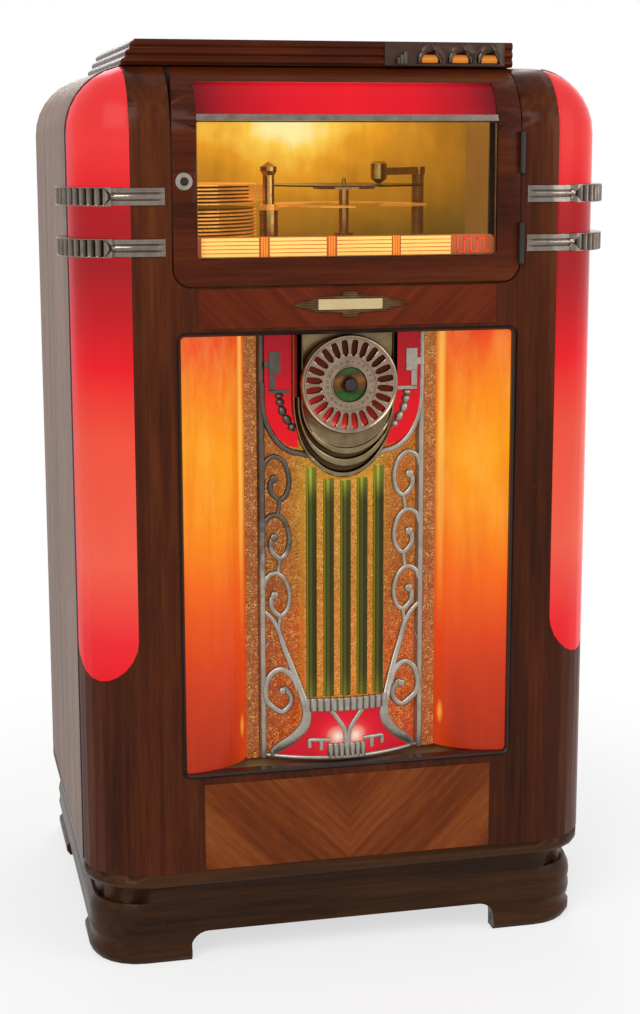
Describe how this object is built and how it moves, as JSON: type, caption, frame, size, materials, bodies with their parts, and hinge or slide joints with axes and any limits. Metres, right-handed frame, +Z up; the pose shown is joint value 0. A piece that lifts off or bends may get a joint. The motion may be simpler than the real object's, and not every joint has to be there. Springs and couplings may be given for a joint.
{
  "type": "jukebox",
  "caption": "Floor-standing jukebox with lit corner pilasters, glazed swing door, dial selector and scroll grille; swing-out record trays, lift and tone arm inside.",
  "frame": {"origin": "centre of the overall footprint at floor level", "axes": "+Z up, -Y out of the front with its door and dial, +X to the right of someone who faces the front"},
  "size_m": [0.83, 0.6614, 1.3833],
  "materials": {
    "mahogany_front": "gloss lacquer over reddish brown mahogany",
    "walnut_side": "satin lacquer over brown walnut",
    "dark_base_wood": "gloss dark stained moulding",
    "plain_plywood": "bare plywood",
    "figured_veneer": "gloss lacquer over book-matched veneer",
    "red_plastic": "translucent, lit from behind",
    "amber_plastic": "translucent, lit from behind",
    "green_plastic": "translucent dark olive",
    "gold_foil": "metallised sparkle",
    "chrome": "polished",
    "bronze": "aged bronze",
    "brushed_metal": "brushed",
    "tray_metal": "lacquered sheet",
    "grey_iron": "painted casting",
    "dark_metal": "wrinkle paint",
    "black_iron": "japanned",
    "cone_paper": "felted pulp",
    "black_lacquer": "black lacquer",
    "black_button": "polished",
    "black_record": "grooved shellac",
    "ivory_board": "printed card strips left blank",
    "window_glass": "clear"
  },
  "bodies": {
    "cabinet": {"front_frame": "mahogany_front", "crown": "mahogany_front", "cabinet_shell": "walnut_side", "base_plinth": "dark_base_wood", "bottom_board": "dark_base_wood", "mech_shelf": "plain_plywood", "speaker_baffle": "plain_plywood", "upper_veneer_panel": "figured_veneer", "lower_veneer_panel": "figured_veneer", "left_pilaster": "red_plastic", "right_pilaster": "red_plastic", "left_cheek_panel": "red_plastic", "right_cheek_panel": "red_plastic", "dial_lens": "red_plastic", "left_amber_panel": "amber_plastic", "right_amber_panel": "amber_plastic", "tone_bar_1": "green_plastic", "tone_bar_2": "green_plastic", "tone_bar_3": "green_plastic", "tone_bar_4": "green_plastic", "tone_bar_5": "green_plastic", "sparkle_backing": "gold_foil", "left_upper_band": "chrome", "left_lower_band": "chrome", "right_upper_band": "chrome", "right_lower_band": "chrome", "centre_plate": "chrome", "grille_casting": "chrome", "dial_housing": "chrome", "coin_escutcheon": "bronze", "grille_surround": "black_lacquer", "lower_door_hinge": "black_iron", "upper_door_hinge": "black_iron", "rear_hinge": "black_iron", "tray_post": "brushed_metal", "lower_tray_stack": "tray_metal", "upper_tray_stack": "tray_metal", "mech_bed": "grey_iron", "drive_motor": "dark_metal", "speaker_frame": "dark_metal", "speaker_cone": "cone_paper", "amplifier": "dark_metal", "cash_box": "dark_metal"},
    "front_door": {"door_frame": "mahogany_front", "door_glass": "window_glass", "title_board": "ivory_board", "door_top_panel": "red_plastic", "door_trim_strip": "chrome", "lock_housing": "chrome"},
    "door_lock": {"lock_plug": "chrome"},
    "dial": {"selector_dial": "chrome"},
    "dial_button": {"selector_button": "black_button"},
    "tray_arm": {"swing_tray": "tray_metal"},
    "lift": {"lift_sleeve": "grey_iron"},
    "platter": {"turntable": "brushed_metal", "record": "black_record"},
    "pickup_arm": {"tone_arm": "brushed_metal"},
    "back_door": {"rear_door": "plain_plywood"},
    "back_latch": {"rear_latch": "brushed_metal"}
  },
  "joints": [
    {"name": "front_door_hinge", "type": "hinge", "parent": "cabinet", "child": "front_door", "pos_m": [0.2595, -0.3237, 1.1568], "axis": [0, 0, 1], "range_deg": [0, 110]},
    {"name": "door_lock_turn", "type": "hinge", "parent": "front_door", "child": "door_lock", "pos_m": [-0.2415, -0.3187, 1.183], "axis": [0, -1, 0], "range_deg": [0, 90]},
    {"name": "dial_turn", "type": "hinge", "parent": "cabinet", "child": "dial", "pos_m": [0, -0.3187, 0.887], "axis": [0, -1, 0], "continuous": true},
    {"name": "dial_button_press", "type": "slide", "parent": "dial", "child": "dial_button", "axis": [0, 1, 0], "range_m": [0, 0.0045], "stiffness_N_per_m": 350, "springref_m": -0.003},
    {"name": "tray_swing", "type": "hinge", "parent": "cabinet", "child": "tray_arm", "pos_m": [-0.077, -0.1037, 1.14], "axis": [0, 0, 1], "range_deg": [0, 124]},
    {"name": "lift_rise", "type": "slide", "parent": "cabinet", "child": "lift", "axis": [0, 0, 1], "range_m": [-0.028, 0]},
    {"name": "platter_spin", "type": "hinge", "parent": "lift", "child": "platter", "pos_m": [0.06074, -0.03046, 1.1712], "axis": [0, 0, 1], "continuous": true},
    {"name": "pickup_sweep", "type": "hinge", "parent": "cabinet", "child": "pickup_arm", "pos_m": [0.2, 0.0263, 1.1863], "axis": [0, 0, 1], "range_deg": [-6, 38]},
    {"name": "back_door_hinge", "type": "hinge", "parent": "cabinet", "child": "back_door", "pos_m": [0.381, 0.3263, 0.72], "axis": [0, 0, -1], "range_deg": [0, 110]},
    {"name": "back_latch_turn", "type": "hinge", "parent": "back_door", "child": "back_latch", "pos_m": [-0.345, 0.3193, 0.73], "axis": [0, 1, 0], "range_deg": [0, 90]}
  ]
}
